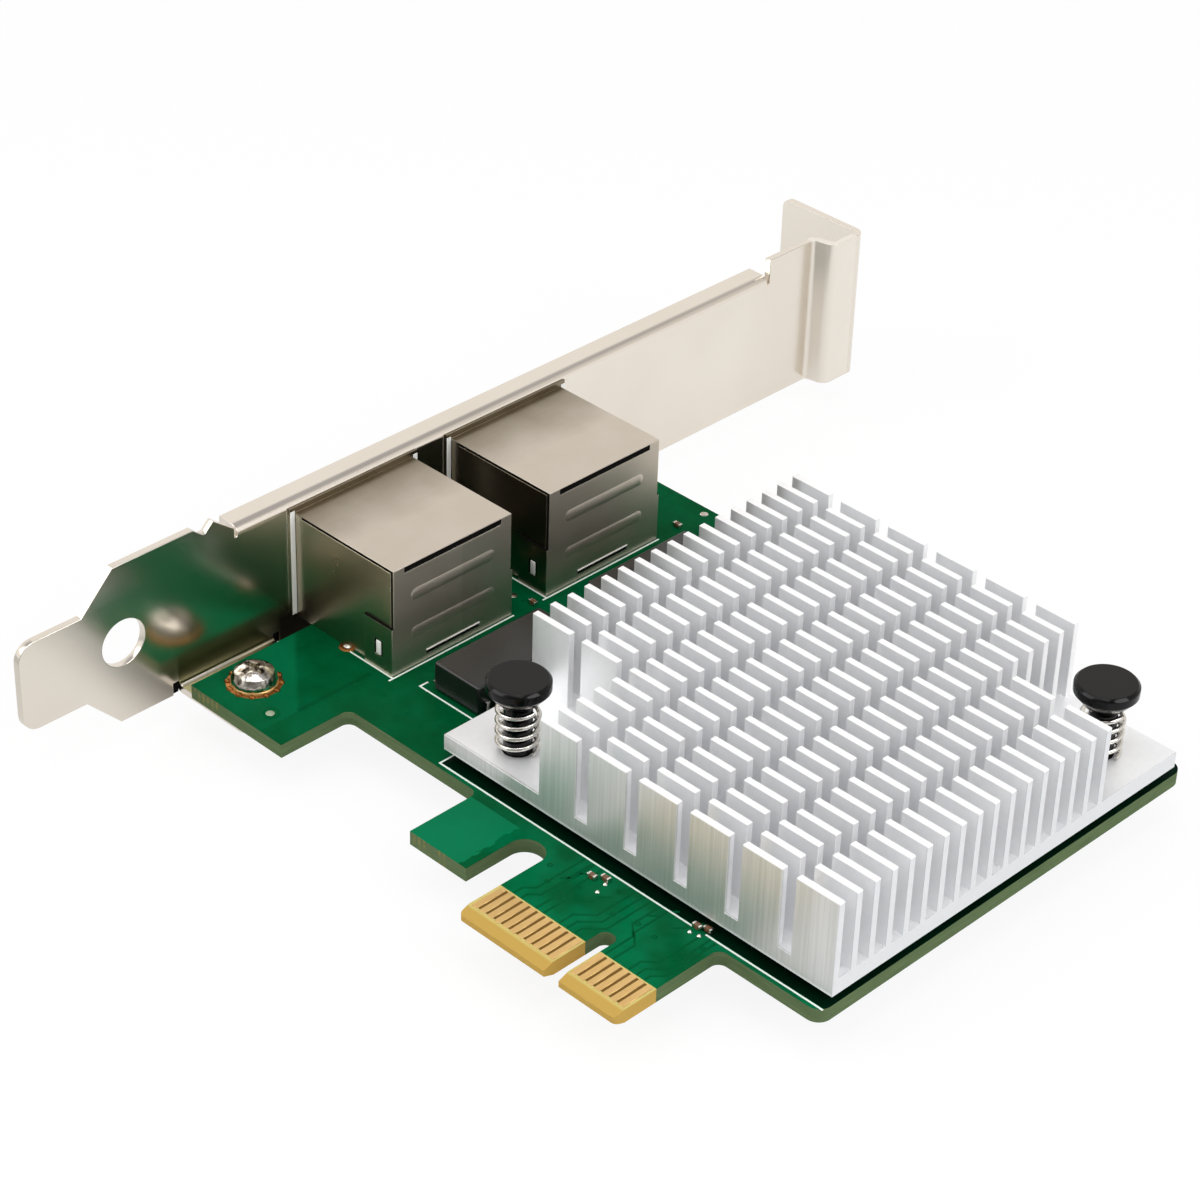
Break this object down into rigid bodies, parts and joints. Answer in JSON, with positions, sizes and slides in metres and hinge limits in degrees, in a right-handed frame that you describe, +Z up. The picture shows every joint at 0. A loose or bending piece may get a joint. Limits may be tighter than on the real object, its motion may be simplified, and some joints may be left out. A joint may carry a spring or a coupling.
{
  "type": "network interface card",
  "caption": "Low expansion card with a folded slot bracket, shielded network sockets, edge connector and a cross-cut heat sink held by sprung push pins.",
  "frame": {"origin": "middle of the edge connector's key slot, on the connector's outer edge, in the board's component face", "axes": "+X along the board away from the bracket, +Y from the edge connector to the far edge, +Z up out of the component face"},
  "size_m": [0.0892, 0.12, 0.0206],
  "materials": {
    "board_laminate": "green lacquered glass laminate",
    "finger_gold": "gold plating over nickel",
    "bracket_steel": "plated cold rolled sheet, bright",
    "screw_nickel": "nickel plated",
    "shield_metal": "bright plated thin sheet",
    "housing_plastic": "black moulding",
    "module_epoxy": "dark moulded epoxy",
    "tinned_lead": "tinned",
    "pad_rubber": "grey thermal elastomer",
    "sink_aluminium": "bare extruded and cut",
    "pin_nylon": "glossy black nylon",
    "spring_steel": "bright wire",
    "capacitor_ceramic": "tan ceramic"
  },
  "bodies": {
    "card": {"circuit_board": "board_laminate", "contacts_component_side": "finger_gold", "contacts_solder_side": "finger_gold", "bracket": "bracket_steel", "bracket_screws": "screw_nickel", "jack_shield_near": "shield_metal", "jack_housing_near": "housing_plastic", "jack_contacts_near": "finger_gold", "magnetics_near": "module_epoxy", "magnetics_leads_near": "tinned_lead", "jack_shield_far": "shield_metal", "jack_housing_far": "housing_plastic", "jack_contacts_far": "finger_gold", "magnetics_far": "module_epoxy", "magnetics_leads_far": "tinned_lead", "controller_chip": "module_epoxy", "thermal_pad": "pad_rubber", "heat_sink": "sink_aluminium", "pin_spring_left": "spring_steel", "pin_spring_right": "spring_steel", "capacitor_bodies": "capacitor_ceramic", "capacitor_ends": "tinned_lead"},
    "left_pin": {"push_pin_left": "pin_nylon"},
    "right_pin": {"push_pin_right": "pin_nylon"}
  },
  "joints": [
    {"name": "left_pin_press", "type": "slide", "parent": "card", "child": "left_pin", "axis": [0, 0, -1], "range_m": [0, 0.002], "stiffness_N_per_m": 1500, "springref_m": -0.003, "deforming": ["pin_spring_left"]},
    {"name": "right_pin_press", "type": "slide", "parent": "card", "child": "right_pin", "axis": [0, 0, -1], "range_m": [0, 0.002], "stiffness_N_per_m": 1500, "springref_m": -0.003, "deforming": ["pin_spring_right"]}
  ]
}
